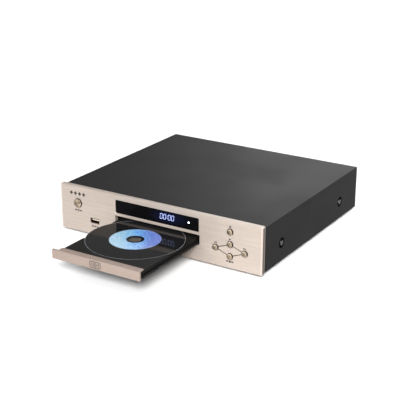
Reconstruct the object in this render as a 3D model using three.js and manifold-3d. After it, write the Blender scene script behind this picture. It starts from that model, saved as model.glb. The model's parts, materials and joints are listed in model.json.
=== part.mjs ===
// CD player with a motorised disc tray: case, front controls, tray and disc, loading gears, and the tilting
// traverse that carries the spindle and the laser pickup. Millimetres, +X right, +Y to the rear, +Z up.
// Shapes are written in panel coordinates (Y = 0 on the front face, Z = 0 on the table), with the tray open.
import * as THREE from 'three';
import { mergeVertices } from 'three/addons/utils/BufferGeometryUtils.js';
import Module from 'manifold-3d';

const wasm = await Module();
wasm.setup();

// ---- Driving dimensions -------------------------------------------------------------------------------
const GAP = 0.3;                      // between pieces that touch
const FOOT_STAND = 3.5;               // table to the underside of the front panel

// The panel's outline is stepped in behind faceDepth, which leaves a dark seam in front of the cover.
const PANEL = {
  width: 293,
  height: 60.4,
  thickness: 8,
  faceDepth: 5.7,
  rebate: 1.5,
  corner: 1.8,
  chamfer: 0.7,
  bottom: FOOT_STAND,
};
const CASE = { halfWidth: 145, rear: 267.6, top: 60.9, bottom: 4.4, sheet: 1.0, rearSheet: 1.5 };
const BASE = { halfWidth: 142.5, bottom: 4.0, sheet: 1.2, flangeTop: 34, front: 8.6, rear: 265.6 };

const DISC = { radius: 60, hole: 7.5, thickness: 1.2, bottom: 32.1, y: -44 };
const TRAY_TRAVEL = 123;              // open to closed
const SLOT = { halfWidth: 61.45, bottom: 23.7, top: 36.2 };
const WINDOW = { halfWidth: 60.6, bottom: 39.9, top: 57.2, corner: 1.6 };
const TRAY = {
  left: -54, right: 59, ledge: 2.2, front: -119.7, rear: 52,
  railBottom: 25.5, ledgeTop: 28.2, underside: 30, wellFloor: 31.8, top: 33.5, wellRadius: 60.7,
};
const DOOR = { halfWidth: 61.1, bottom: 24.2, top: 35.7, thickness: 3, ledgeDepth: 9.5, ledgeThickness: 1.6 };

const USB = { x: -93.6, z: 22, width: 14, height: 7.1 };
const POWER = { x: -119.2, z: 41.4, radius: 5.6, hole: 6.0, travel: 2.5 };
const KEY_RADIUS = 3.7;
const KEY_HOLE = 4.1;
const KEY_CLUSTER = { x: 103.5, z: 26.3, halfWidth: 19.7, halfHeight: 7.6 };
const EJECT_Z = 49.6;
const KEYS = {
  eject_button: [KEY_CLUSTER.x, EJECT_Z],
  play_button: [KEY_CLUSTER.x, KEY_CLUSTER.z + KEY_CLUSTER.halfHeight],
  stop_button: [KEY_CLUSTER.x, KEY_CLUSTER.z - KEY_CLUSTER.halfHeight],
  previous_button: [KEY_CLUSTER.x - KEY_CLUSTER.halfWidth, KEY_CLUSTER.z],
  next_button: [KEY_CLUSTER.x + KEY_CLUSTER.halfWidth, KEY_CLUSTER.z],
};
const SIDE_SCREW_Y = [50.5, 214.5];
const SIDE_SCREW_Z = 27.6;
const REAR_JACK_LENGTH = 9;

const LOADER = { bottom: 12, floorTop: 14, wallTop: 30, front: 12, rear: 178, wall: 2.4, running: 0.5 };
const CLAMP = { bridgeBottom: 37.8, sheet: 1.5, hole: 12.5 };

// Circuit boards: front depth, and the depth of the switch faces that the buttons reach.
const BOARD = 1.6;
const KEY_BOARD = { y: 17, switchFace: 14.4 };
const POWER_BOARD = { y: 24, switchFace: 19.3 };
const DISPLAY_BOARD = { y: 20 };
const REAR_BOARD = { bottom: 12, top: 13.6 };

// Loading gears, with vertical axes. The rack runs under the left side of the tray.
const RACK_MODULE = 1.25;
const TRAY_PINION_TEETH = 16;
const TRAY_PINION_RADIUS = RACK_MODULE * TRAY_PINION_TEETH / 2;
const RACK_PITCH_X = -45.5;
const TRAY_GEAR = { x: RACK_PITCH_X + TRAY_PINION_RADIUS, y: 26, wheelTeeth: 24, module: 1 };
const PULLEY_GEAR_TEETH = 12;
const PULLEY_GEAR_ANGLE = THREE.MathUtils.degToRad(50);
const PULLEY_DISTANCE = TRAY_GEAR.module * (TRAY_GEAR.wheelTeeth + PULLEY_GEAR_TEETH) / 2;
const PULLEY_GEAR = {
  x: TRAY_GEAR.x + PULLEY_DISTANCE * Math.cos(PULLEY_GEAR_ANGLE),
  y: TRAY_GEAR.y + PULLEY_DISTANCE * Math.sin(PULLEY_GEAR_ANGLE),
  groove: 10.5,
};
const MOTOR_PULLEY = { x: 8, y: 33, groove: 2.8 };
const BELT = { low: 23.8, high: 25.0, thickness: 1.2 };
const FLAT_MOTOR = { radius: 12.2, flange: 13.6, height: 12.3 };

// Traverse, written as it stands when it is raised for play. It rests lowered by this angle.
const TRAVERSE_TILT = THREE.MathUtils.degToRad(5);
const PIVOT = { y: 160, z: 20 };
const SPINDLE_Y = DISC.y + TRAY_TRAVEL;
const PLATE = { left: -36, right: 48, front: 64, rear: 164, bottom: 19.5, top: 22.5 };
const ROD = { x: 21, z: 24.3, radius: 1.5, front: 88, rear: 155 };
const SLED_Y = SPINDLE_Y + 23;        // lens centre at the innermost track
const FEED = {
  module: 0.8, pinionTeeth: 12, wheelModule: 0.7, wheelTeeth: 16, motorTeeth: 10,
  rackX: 27, rackBack: 24.5, rackLength: 48, y: 138,
};
const FEED_GEAR_X = FEED.rackX + FEED.module * FEED.pinionTeeth / 2;
const FEED_DISTANCE = FEED.wheelModule * (FEED.wheelTeeth + FEED.motorTeeth) / 2;
const FEED_ANGLE = THREE.MathUtils.degToRad(-50);
const FEED_MOTOR = {
  x: FEED_GEAR_X + FEED_DISTANCE * Math.cos(FEED_ANGLE),
  y: FEED.y + FEED_DISTANCE * Math.sin(FEED_ANGLE),
};

// ---- Geometry helpers ---------------------------------------------------------------------------------
function toSolid(geometry) {
  geometry.deleteAttribute('normal');
  geometry.deleteAttribute('uv');
  const merged = mergeVertices(geometry, 1e-4);
  const vertProperties = new Float32Array(merged.attributes.position.array);
  const triVerts = new Uint32Array(merged.index.array);
  const solid = new wasm.Manifold(new wasm.Mesh({ numProp: 3, vertProperties, triVerts }));
  if (solid.volume() >= 0) return solid;
  triVerts.forEach((_, i) => {
    if (i % 3 === 1) [triVerts[i], triVerts[i + 1]] = [triVerts[i + 1], triVerts[i]];
  });
  return new wasm.Manifold(new wasm.Mesh({ numProp: 3, vertProperties, triVerts }));
}

function fuse(...solids) {
  return solids.reduce((sum, next) => sum.add(next));
}

function cut(solid, ...tools) {
  return tools.reduce((rest, tool) => rest.subtract(tool), solid);
}

function box(x0, x1, y0, y1, z0, z1) {
  const geometry = new THREE.BoxGeometry(x1 - x0, y1 - y0, z1 - z0);
  geometry.translate((x0 + x1) / 2, (y0 + y1) / 2, (z0 + z1) / 2);
  return toSolid(geometry);
}

// Turns a geometry built about +Y so that its axis points along X, Y or Z.
function aim(geometry, axis) {
  if (axis === 'x') geometry.rotateZ(-Math.PI / 2);
  if (axis === 'z') geometry.rotateX(Math.PI / 2);
  return geometry;
}

// Round bar from one place along its axis to another; centre gives the other two coordinates in XYZ order.
function rod(axis, radius, from, to, centre, segments = 20) {
  const geometry = aim(new THREE.CylinderGeometry(radius, radius, to - from, segments), axis);
  const middle = (from + to) / 2;
  const place = { x: [middle, ...centre], y: [centre[0], middle, centre[1]], z: [...centre, middle] }[axis];
  return toSolid(geometry.translate(...place));
}

// Solid of revolution; the profile lists [radius, place along the axis] pairs round the section.
function turned(axis, profile, centre, segments = 24) {
  const points = [...profile, profile[0]].map(([radius, along]) => new THREE.Vector2(radius, along));
  const geometry = aim(new THREE.LatheGeometry(points, segments), axis);
  const place = { x: [0, ...centre], y: [centre[0], 0, centre[1]], z: [...centre, 0] }[axis];
  return toSolid(geometry.translate(...place));
}

function roundedRectangle(x0, x1, y0, y1, radius) {
  const shape = new THREE.Shape();
  shape.absarc(x1 - radius, y0 + radius, radius, -Math.PI / 2, 0, false);
  shape.absarc(x1 - radius, y1 - radius, radius, 0, Math.PI / 2, false);
  shape.absarc(x0 + radius, y1 - radius, radius, Math.PI / 2, Math.PI, false);
  shape.absarc(x0 + radius, y0 + radius, radius, Math.PI, 1.5 * Math.PI, false);
  return shape;
}

function circle(x, y, radius) {
  return new THREE.Shape().absarc(x, y, radius, 0, 2 * Math.PI, false);
}

// Plate with its outline in XY, between two heights.
function plateZ(shape, z0, z1, curveSegments = 4) {
  const geometry = new THREE.ExtrudeGeometry(shape, { depth: z1 - z0, bevelEnabled: false, curveSegments });
  return toSolid(geometry.translate(0, 0, z0));
}

// Plate with its outline in XZ, between two depths, with chamfered edges where a chamfer is given.
function plateY(shape, y0, y1, chamfer = 0, curveSegments = 4) {
  const geometry = new THREE.ExtrudeGeometry(shape, {
    depth: y1 - y0 - 2 * chamfer, bevelEnabled: chamfer > 0, bevelThickness: chamfer, bevelSize: chamfer,
    bevelOffset: -chamfer, bevelSegments: 1, curveSegments,
  });
  return toSolid(geometry.rotateX(Math.PI / 2).translate(0, y1 - chamfer, 0));
}

// Cutter that goes through the panel and flares at its front face to leave a chamfered edge.
function panelCutter(shape, flare, curveSegments = 4) {
  const through = plateY(shape, -1, PANEL.thickness + 1, 0, curveSegments);
  const geometry = new THREE.ExtrudeGeometry(shape, {
    depth: 0.02, bevelEnabled: true, bevelThickness: flare, bevelSize: flare, bevelSegments: 1, curveSegments,
  });
  return through.add(toSolid(geometry.rotateX(Math.PI / 2).translate(0, 0.01, 0)));
}

const PRESSURE_ANGLE = THREE.MathUtils.degToRad(20);
const BACKLASH = 0.24;

// Toothed outline about the origin, with the middle of one tooth at the given angle.
function gearOutline(teeth, module, toothAngle) {
  const pitch = teeth * module / 2;
  const base = pitch * Math.cos(PRESSURE_ANGLE);
  const root = pitch - 1.2 * module;
  const involute = (angle) => Math.tan(angle) - angle;
  const halfAtPitch = (Math.PI * module / 2 - BACKLASH) / (2 * pitch);
  const halfAngle = (radius) => halfAtPitch + involute(PRESSURE_ANGLE)
    - involute(Math.acos(Math.min(1, base / radius)));
  const tip = pitch + 0.85 * module;
  const rootHalf = halfAngle(Math.max(base, root));
  const tipHalf = halfAngle(tip);
  const side = [[root, -rootHalf], [tip, -tipHalf], [tip, tipHalf], [root, rootHalf]];
  const points = Array.from({ length: teeth }, (_, i) => side.map(([radius, offset]) => {
    const angle = toothAngle + 2 * Math.PI * i / teeth + offset;
    return new THREE.Vector2(radius * Math.cos(angle), radius * Math.sin(angle));
  }));
  return new THREE.Shape(points.flat());
}

function gear(teeth, module, toothAngle, z0, z1, centre) {
  return plateZ(gearOutline(teeth, module, toothAngle), z0, z1).translate([centre.x, centre.y, 0]);
}

// Rack along Y with its teeth towards +X and a gap between teeth at gapY.
function rack(module, pitchX, backX, y0, y1, z0, z1, gapY) {
  const pitch = Math.PI * module;
  const half = (pitch / 2 - BACKLASH) / 2;
  const slope = Math.tan(PRESSURE_ANGLE) * module;
  const rootX = pitchX - 1.2 * module;
  const tipX = pitchX + 0.85 * module;
  const first = Math.ceil((y0 - gapY) / pitch - 0.5 + 0.3);
  const last = Math.floor((y1 - gapY) / pitch - 0.5 - 0.3);
  const outline = [[backX, y0], [rootX, y0]];
  for (let tooth = first; tooth <= last; tooth += 1) {
    const y = gapY + (tooth + 0.5) * pitch;
    outline.push([rootX, y - half - 1.2 * slope], [tipX, y - half + 0.85 * slope]);
    outline.push([tipX, y + half - 0.85 * slope], [rootX, y + half + 1.2 * slope]);
  }
  outline.push([rootX, y1], [backX, y1]);
  return plateZ(new THREE.Shape(outline.map(([x, y]) => new THREE.Vector2(x, y))), z0, z1);
}

// ---- Nodes --------------------------------------------------------------------------------------------
const FINISH = {
  champagne: [0xd3c5bc, 0.35, 0.85], champagneDoor: [0xcdbbaf, 0.38, 0.85], bronze: [0xa98f6f, 0.25, 0.95],
  coverPaint: [0x454547, 0.55, 0.3], zinc: [0xa9adb0, 0.4, 0.9], steel: [0xb9bcc0, 0.25, 1],
  brass: [0xc9a24a, 0.3, 1],
  blackPlastic: [0x1e1e1f, 0.5, 0], trayBlack: [0x2a2928, 0.4, 0], glossBlack: [0x08090c, 0.06, 0],
  rubber: [0x18181a, 0.9, 0], whitePlastic: [0xe6e4dd, 0.5, 0], ivory: [0xd8cfb4, 0.5, 0],
  board: [0x1d5a34, 0.5, 0], boardBrown: [0x8a6a35, 0.6, 0], copper: [0xb5703a, 0.35, 0.9],
  discBlack: [0x1c1c20, 0.08, 0.2], lamp: [0xf4f8ff, 0.3, 0], lens: [0x9fb4d8, 0.05, 0],
  red: [0x9c2420, 0.5, 0], blue: [0x2a3c78, 0.4, 0],
};

function node(name, solid, finish, parent) {
  const { numProp, vertProperties, triVerts } = solid.getMesh();
  const positions = new Float32Array(vertProperties.length / numProp * 3);
  for (let i = 0; i < positions.length / 3; i += 1) {
    positions.set(vertProperties.subarray(i * numProp, i * numProp + 3), i * 3);
  }
  const geometry = new THREE.BufferGeometry();
  geometry.setAttribute('position', new THREE.BufferAttribute(positions, 3));
  geometry.setIndex(new THREE.BufferAttribute(new Uint32Array(triVerts), 1));
  geometry.computeVertexNormals();
  const [color, roughness, metalness] = FINISH[finish];
  const mesh = new THREE.Mesh(geometry, new THREE.MeshStandardMaterial({ color, roughness, metalness }));
  mesh.name = name;
  parent.add(mesh);
}

// ---- Case ---------------------------------------------------------------------------------------------
const PANEL_TOP = PANEL.bottom + PANEL.height;

function frontPanel() {
  const half = PANEL.width / 2;
  const outline = roundedRectangle(-half, half, PANEL.bottom, PANEL_TOP, PANEL.corner);
  const plate = plateY(outline, 0, PANEL.thickness, PANEL.chamfer, 2);
  const around = roundedRectangle(-half - 2, half + 2, PANEL.bottom - 2, PANEL_TOP + 2, PANEL.corner);
  const rim = plateY(around, PANEL.faceDepth, PANEL.thickness + 1, 0, 1);
  const step = PANEL.rebate;
  const inner = roundedRectangle(
    -half + step, half - step, PANEL.bottom + step, PANEL_TOP - step, PANEL.corner - step,
  );
  const core = plateY(inner, PANEL.faceDepth - 1, PANEL.thickness + 2, 0, 2);
  const { halfWidth: windowHalf, bottom: windowBottom, top: windowTop } = WINDOW;
  const windowShape = roundedRectangle(-windowHalf, windowHalf, windowBottom, windowTop, WINDOW.corner);
  const slotShape = roundedRectangle(-SLOT.halfWidth, SLOT.halfWidth, SLOT.bottom, SLOT.top, 0.5);
  const usbShape = roundedRectangle(
    USB.x - USB.width / 2, USB.x + USB.width / 2, USB.z - USB.height / 2, USB.z + USB.height / 2, 0.6,
  );
  const openings = [
    panelCutter(windowShape, 0.4, 3),
    panelCutter(slotShape, 0.4, 1),
    panelCutter(usbShape, 0.3, 1),
    panelCutter(circle(POWER.x, POWER.z, POWER.hole), 0.4, 10),
    ...Object.values(KEYS).map(([x, z]) => panelCutter(circle(x, z, KEY_HOLE), 0.4, 8)),
  ];
  return fuse(cut(plate, rim.subtract(core), ...openings, ...engravedLines()), ...panelPosts());
}

// Shallow lines that join the play, previous, stop and next buttons.
function engravedLines() {
  const corners = ['play_button', 'previous_button', 'stop_button', 'next_button'].map((key) => KEYS[key]);
  return corners.map(([x0, z0], i) => {
    const [x1, z1] = corners[(i + 1) % corners.length];
    const length = Math.hypot(x1 - x0, z1 - z0);
    const geometry = new THREE.BoxGeometry(length, 0.6, 0.9);
    geometry.rotateY(-Math.atan2(z1 - z0, x1 - x0));
    return toSolid(geometry.translate((x0 + x1) / 2, 0, (z0 + z1) / 2));
  });
}

// Board posts on the back of the panel: [x, z, end depth].
function panelPosts() {
  const display = [-66, 66].map((x) => [x, 48, DISPLAY_BOARD.y - GAP]);
  const power = [[-131, 30], [-107, 52]].map(([x, z]) => [x, z, POWER_BOARD.y - GAP]);
  const keys = [[76, 12], [76, 54], [131, 12], [131, 54]].map(([x, z]) => [x, z, KEY_BOARD.y - GAP]);
  const posts = [...display, ...power, ...keys];
  return posts.map(([x, z, end]) => rod('y', 2.2, PANEL.thickness - 1, end, [x, z], 6));
}

function displayWindow() {
  const half = WINDOW.halfWidth - GAP;
  const shape = roundedRectangle(-half, half, WINDOW.bottom + GAP, WINDOW.top - GAP, WINDOW.corner - GAP);
  const pane = plateY(shape, 0.5, 9.8, 0, 3);
  const flange = box(-62.8, 62.8, PANEL.thickness + GAP, 9.8, 37.8, 58.4);
  return pane.add(flange);
}

function baseChassis() {
  const { halfWidth, bottom, sheet, flangeTop, front, rear } = BASE;
  const bends = fuse(
    box(-halfWidth, halfWidth, front, rear, bottom, bottom + sheet),
    box(-halfWidth, -halfWidth + sheet, front, rear, bottom, flangeTop),
    box(halfWidth - sheet, halfWidth, front, rear, bottom, flangeTop),
    box(-halfWidth, halfWidth, front, front + sheet, bottom, 9),
    box(-halfWidth, halfWidth, rear - sheet, rear, bottom, 12),
  );
  const boss = ([x, y, top]) => rod('z', 3.2, bottom + 0.5, top, [x, y], 6);
  const withTop = (places, top) => places.map((at) => [...at, top]);
  const loader = [[-66, 74], [69, 74], [-56, 20], [58, 20], [-56, 170], [58, 170]];
  const mainBoardAt = [[-4, 191], [126, 191], [-4, 256], [126, 256]];
  const powerBoardAt = [[-134, 66], [-86, 66], [-134, 160], [-86, 160]];
  const usbBoardAt = [[-104, 40], [-84, 40]];
  const low = withTop([...loader, ...mainBoardAt, ...powerBoardAt], 11.7);
  const bosses = [...low, ...withTop(usbBoardAt, 16.8)].map(boss);
  const screwHoles = SIDE_SCREW_Y.map((y) => rod('x', 1.8, -150, 150, [y, SIDE_SCREW_Z], 8));
  const vents = Array.from({ length: 6 }, (_, i) => {
    const x = -40 + i * 12;
    return box(x, x + 5, 192, 232, bottom - 1, bottom + 3);
  });
  return cut(fuse(bends, ...bosses), ...screwHoles, ...vents);
}

// Folded sheet, with a pressed seat and a hole for each cover screw.
function topCover() {
  const { halfWidth, top, bottom, sheet, rear, rearSheet } = CASE;
  const front = PANEL.thickness + GAP;
  const back = rear - rearSheet - GAP;
  const skin = box(-halfWidth, halfWidth, front, back, bottom, top);
  const inside = box(-halfWidth + sheet, halfWidth - sheet, front - 1, back + 1, bottom - 1, top - sheet);
  const seats = [];
  const recesses = [];
  for (const side of [-1, 1]) {
    for (const y of SIDE_SCREW_Y) {
      const at = [y, SIDE_SCREW_Z];
      const along = (depth) => side * (halfWidth - depth);
      const seat = [[0, along(0.5)], [6.5, along(0.5)], [5.2, along(2.2)], [0, along(2.2)]];
      const recess = [
        [0, along(-1)], [5.6, along(-1)], [5.6, along(0)], [4.2, along(1.2)], [1.9, along(1.2)],
        [1.9, along(3)], [0, along(3)],
      ];
      seats.push(turned('x', seat, at, 12));
      recesses.push(turned('x', recess, at, 12));
    }
  }
  return cut(fuse(skin.subtract(inside), ...seats), ...recesses);
}

function coverScrew(side, y) {
  const along = (depth) => side * (CASE.halfWidth - depth);
  const profile = [
    [0, along(-0.6)], [2.2, along(-0.5)], [3.4, along(0.1)], [3.4, along(0.9)],
    [1.4, along(0.9)], [1.4, along(8)], [0, along(8)],
  ];
  return turned('x', profile, [y, SIDE_SCREW_Z], 12);
}

const REAR_INLET = { x: -112, z: 30, halfWidth: 13.6, halfHeight: 9.8 };
const REAR_JACKS = {
  left_audio_socket: [40, 'whitePlastic'],
  right_audio_socket: [60, 'red'],
  coaxial_socket: [88, 'ivory'],
};
const JACK_Z = 34;
const OPTICAL = { x: 110, z: 34, half: 5 };

function rearPanel() {
  const { halfWidth, top, bottom, rear, rearSheet } = CASE;
  const sheet = box(-halfWidth, halfWidth, rear - rearSheet, rear, bottom, top);
  const hole = (x, z, halfX, halfZ) => box(
    x - halfX - GAP, x + halfX + GAP, rear - 5, rear + 1, z - halfZ - GAP, z + halfZ + GAP,
  );
  const inlet = hole(REAR_INLET.x, REAR_INLET.z, REAR_INLET.halfWidth, REAR_INLET.halfHeight);
  const optical = hole(OPTICAL.x, OPTICAL.z, OPTICAL.half, OPTICAL.half);
  const jacks = Object.values(REAR_JACKS).map(([x]) => rod('y', 5.3, rear - 5, rear + 1, [x, JACK_Z], 12));
  return cut(sheet, inlet, optical, ...jacks);
}

function foot(x, y) {
  return turned('z', [[0, 0], [9, 0], [10, 0.8], [10, 3.7], [0, 3.7]], [x, y], 16);
}

function mainsInlet() {
  const { x, z, halfWidth, halfHeight } = REAR_INLET;
  const rear = CASE.rear;
  const block = (grow, y0, y1) => box(
    x - halfWidth - grow, x + halfWidth + grow, y0, y1, z - halfHeight - grow, z + halfHeight + grow,
  );
  const body = block(0, rear - 22, rear + 1);
  const lip = block(2.5, rear + GAP, rear + 2.2);
  const well = block(-2, rear - 14, rear + 4);
  const pins = [[-7, -1.5], [0, 2.5], [7, -1.5]].map(([dx, dz]) => box(
    x + dx - 1, x + dx + 1, rear - 15, rear - 3, z + dz - 1.5, z + dz + 1.5,
  ));
  return fuse(body.add(lip).subtract(well), ...pins);
}

function audioSocket(x) {
  const rear = CASE.rear;
  return turned('y', [
    [0, rear - 14], [4.4, rear - 14], [4.4, rear + REAR_JACK_LENGTH], [2.1, rear + REAR_JACK_LENGTH],
    [2.1, rear - 4], [0, rear - 4],
  ], [x, JACK_Z], 14);
}

function opticalSocket() {
  const { x, z, half } = OPTICAL;
  const rear = CASE.rear;
  const body = box(x - half, x + half, rear - 14, rear + 1.2, z - half, z + half);
  return body.subtract(box(x - 3, x + 3, rear - 8, rear + 3, z - 3, z + 3));
}

// ---- Boards ---------------------------------------------------------------------------------------------
function keyBoard() {
  const { y, switchFace } = KEY_BOARD;
  const switches = Object.values(KEYS).map(([x, z]) => box(x - 3, x + 3, switchFace, y + 0.5, z - 3, z + 3));
  return fuse(box(71, 136, y, y + BOARD, 8, 57), ...switches);
}

function powerSwitchBoard() {
  const { y, switchFace } = POWER_BOARD;
  const latch = box(POWER.x - 5, POWER.x + 5, switchFace, y + 0.5, POWER.z - 5, POWER.z + 5);
  return latch.add(box(-135, -103, y, y + BOARD, 26, 56));
}

function usbSocket() {
  const { x, z } = USB;
  const shell = box(x - 6.6, x + 6.6, 1.2, 17, z - 2.9, z + 2.9);
  const mouth = box(x - 6.1, x + 6.1, 0, 15.5, z - 2.4, z + 2.4);
  const tongue = box(x - 5.4, x + 5.4, 2.2, 16, z + 0.2, z + 1.9);
  return shell.subtract(mouth).add(tongue);
}

function mainBoard() {
  const { bottom, top } = REAR_BOARD;
  const chip = ([x, y, half]) => box(x - half, x + half, y - half, y + half, top - 0.2, top + 2);
  const can = ([x, y]) => rod('z', 3.2, top - 0.2, top + 8, [x, y], 8);
  const chips = [[20, 205, 9], [50, 215, 7], [84, 200, 6], [30, 238, 5]].map(chip);
  const cans = [[70, 240], [86, 240], [104, 228], [104, 212], [120, 206]].map(can);
  return fuse(box(-12, 134, 184, 262, bottom, top), ...chips, ...cans);
}

function powerBoard() {
  const { bottom, top } = REAR_BOARD;
  const parts = [
    box(-132, -118, 70, 92, top - 0.2, top + 12), box(-128, -112, 132, 150, top - 0.2, top + 10),
    rod('z', 5, top - 0.2, top + 16, [-94, 78], 10), rod('z', 4, top - 0.2, top + 12, [-94, 150], 10),
  ];
  return fuse(box(-139, -80, 60, 166, bottom, top), ...parts);
}

function heatSink() {
  const left = -133;
  const bottom = REAR_BOARD.top + GAP;
  const fins = Array.from({ length: 4 }, (_, i) => {
    const x = left + i * 8.3;
    return box(x, x + 1.7, 100, 112, bottom, 40);
  });
  return fuse(box(left, left + 26.6, 104.5, 107.5, bottom, 40), ...fins);
}

function transformer() {
  const core = box(-132, -84, 196, 218, 8, 48);
  const coil = box(-124, -92, 188, 226, 14, 42);
  const foot = box(-138, -78, 196, 218, BASE.bottom + BASE.sheet + GAP, 8);
  return fuse(core, coil, foot);
}

// ---- Buttons --------------------------------------------------------------------------------------------
function button(x, z, radius, dome, tip) {
  const back = PANEL.thickness + 0.4;
  const profile = [
    [0, -dome], [radius * 0.6, -dome * 0.8], [radius, 0.1], [radius, back],
    [radius + 1.1, back], [radius + 1.1, back + 1], [1.6, back + 1], [1.6, tip], [0, tip],
  ];
  return turned('y', profile, [x, z], 16);
}

// ---- Tray, door and disc --------------------------------------------------------------------------------
function discTray() {
  const { left, right, ledge, front, rear, railBottom, ledgeTop } = TRAY;
  const { underside, wellFloor, top, wellRadius } = TRAY;
  const deck = plateZ(roundedRectangle(left, right, front, rear, 2), underside, top, 2);
  const railWidth = 2.4;
  const rails = [
    box(left, left + railWidth, front + 3, rear - 2, railBottom, underside + 0.5),
    box(left - ledge, left + 1, front + 3, rear - 2, railBottom, ledgeTop),
    box(right - railWidth, right, front + 3, rear - 2, railBottom, underside + 0.5),
    box(right - 1, right + ledge, front + 3, rear - 2, railBottom, ledgeTop),
    box(left, right, front, front + 2.5, railBottom, underside + 0.5),
  ];
  const teeth = rack(RACK_MODULE, RACK_PITCH_X, left + 1, TRAY_GEAR.y - TRAY_TRAVEL - 9, TRAY_GEAR.y + 9,
    26.2, underside + 0.5, TRAY_GEAR.y);
  const well = rod('z', wellRadius, wellFloor, top + 1, [0, DISC.y], 56);
  const hub = rod('z', 20, underside - 1, top + 1, [0, DISC.y], 24);
  const track = box(-18, 18, DISC.y, DISC.y + 64, underside - 1, top + 1);
  return cut(fuse(deck, ...rails, teeth), well, hub, track);
}

function trayDoor() {
  const { halfWidth, bottom, top, thickness, ledgeDepth, ledgeThickness } = DOOR;
  const front = -TRAY_TRAVEL;
  const outline = roundedRectangle(-halfWidth, halfWidth, bottom, top, 0.6);
  const face = plateY(outline, front, front + thickness, 0.3, 2);
  const ledge = [front + thickness - 0.5, front + ledgeDepth, top - ledgeThickness, top];
  const shelf = box(TRAY.left + 1, TRAY.right + 1, ...ledge);
  const ribs = Array.from({ length: 3 }, (_, i) => box(
    TRAY.left, TRAY.right + 2, front + 4 + i * 1.8, front + 4.6 + i * 1.8, top - 0.3, top + 1,
  ));
  return cut(face.add(shelf), ...ribs);
}

function compactDisc() {
  const { radius, hole, thickness, bottom, y } = DISC;
  const top = bottom + thickness;
  return turned('z', [[hole, bottom], [radius, bottom], [radius, top], [hole, top]], [0, y], 56);
}

// ---- Loader ---------------------------------------------------------------------------------------------

function loaderFrame() {
  const { bottom, floorTop, wallTop, front, rear, wall, running } = LOADER;
  const left = TRAY.left - TRAY.ledge - running;
  const right = TRAY.right + TRAY.ledge + running;
  const lipTop = TRAY.railBottom - GAP;
  const keeper = TRAY.ledgeTop + GAP;
  const length = ([x0, x1, z0, z1]) => box(x0, x1, front, rear, z0, z1);
  const walls = [[left - wall, left, bottom, wallTop], [right, right + wall, bottom, wallTop]].map(length);
  const lips = [[left - 1, left + 4], [right - 4, right + 1]]
    .map(([x0, x1]) => length([x0, x1, lipTop - 1.6, lipTop]));
  const keepers = [
    [left - 1, TRAY.left - GAP, keeper, wallTop],
    [TRAY.right + GAP, right + 1, keeper, wallTop],
  ].map(length);
  const floors = [[left - 1, -38, bottom, floorTop], [50, right + 1, bottom, floorTop]].map(length);
  const crossBars = [
    box(left - 1, right + 1, rear - 8, rear, bottom, floorTop + 2),
    box(left - 1, right + 1, front, front + 6, bottom, floorTop),
  ];
  const gearDeck = box(left, 25, front, 50, bottom, floorTop);
  const motorAt = [MOTOR_PULLEY.x, MOTOR_PULLEY.y];
  const motorHole = rod('z', FLAT_MOTOR.radius + GAP, bottom - 1, floorTop + 1, motorAt, 24);
  const pins = [
    rod('z', 2, floorTop - 1, 29.4, [TRAY_GEAR.x, TRAY_GEAR.y], 12),
    rod('z', 1.5, floorTop - 1, 26, [PULLEY_GEAR.x, PULLEY_GEAR.y], 12),
  ];
  const beside = (y0, y1, z1) => ([x0, x1]) => box(x0, x1, y0, y1, bottom, z1);
  const brackets = [[-73, left - 1], [right + 1, 76]].map(beside(66, 92, floorTop));
  const posts = [[-73, -68], [71, 76]].map(beside(66, 92, CLAMP.bridgeBottom - GAP));
  const lugs = [[-46, -42], [51, 55]].map(beside(PIVOT.y - 5, PIVOT.y + 5, PIVOT.z + 4));
  const pivotHoles = rod('x', 2.5, -60, 60, [PIVOT.y, PIVOT.z], 16);
  const pivotWindow = lugs.map((lug) => lug.intersect(pivotHoles));
  const frame = fuse(...walls, ...lips, ...keepers, ...floors, ...crossBars, gearDeck);
  return cut(fuse(frame, ...pins, ...brackets, ...posts, ...lugs), motorHole, ...pivotWindow);
}

function clampBridge() {
  const { bridgeBottom, sheet, hole } = CLAMP;
  const outline = roundedRectangle(-73, 76, SPINDLE_Y - 16, SPINDLE_Y + 16, 3);
  const strip = plateZ(outline, bridgeBottom, bridgeBottom + sheet, 2);
  return cut(strip, rod('z', hole, bridgeBottom - 1, bridgeBottom + sheet + 1, [0, SPINDLE_Y], 24));
}

function clampPuck() {
  const rim = CLAMP.bridgeBottom + CLAMP.sheet + GAP;
  const profile = [
    [0, 38.8], [8.4, 38.8], [8.4, 36.4], [11.5, 36.4], [11.5, rim], [16, rim],
    [16, rim + 1.6], [9, rim + 3.2], [0, rim + 3.2],
  ];
  return turned('z', profile, [0, SPINDLE_Y], 20);
}

function flatMotor(x, y, bottom, flangeBottom, shaftTop) {
  const { radius, flange, height } = FLAT_MOTOR;
  const top = bottom + height;
  return turned('z', [
    [0, bottom], [radius, bottom], [radius, flangeBottom], [flange, flangeBottom], [flange, flangeBottom + 1],
    [radius, flangeBottom + 1], [radius, top], [1, top], [1, shaftTop], [0, shaftTop],
  ], [x, y], 16);
}

function trayGear() {
  const { x, y, wheelTeeth, module } = TRAY_GEAR;
  const wheel = gear(wheelTeeth, module, PULLEY_GEAR_ANGLE, 18.6, 21.8, TRAY_GEAR);
  const pinion = gear(TRAY_PINION_TEETH, RACK_MODULE, Math.PI, 26.4, 29.4, TRAY_GEAR);
  const hub = rod('z', 5, 15, 27, [x, y], 16);
  return cut(fuse(wheel, pinion, hub), rod('z', 2.25, 14, 31, [x, y], 12));
}

function pulleyProfile(radius, flange, bore, z0, z1) {
  const lip = 0.5;
  return [
    [bore, z0], [flange, z0], [flange, z0 + lip], [radius, z0 + lip + 0.4],
    [radius, z1 - lip - 0.4], [flange, z1 - lip], [flange, z1], [bore, z1],
  ];
}

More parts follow.
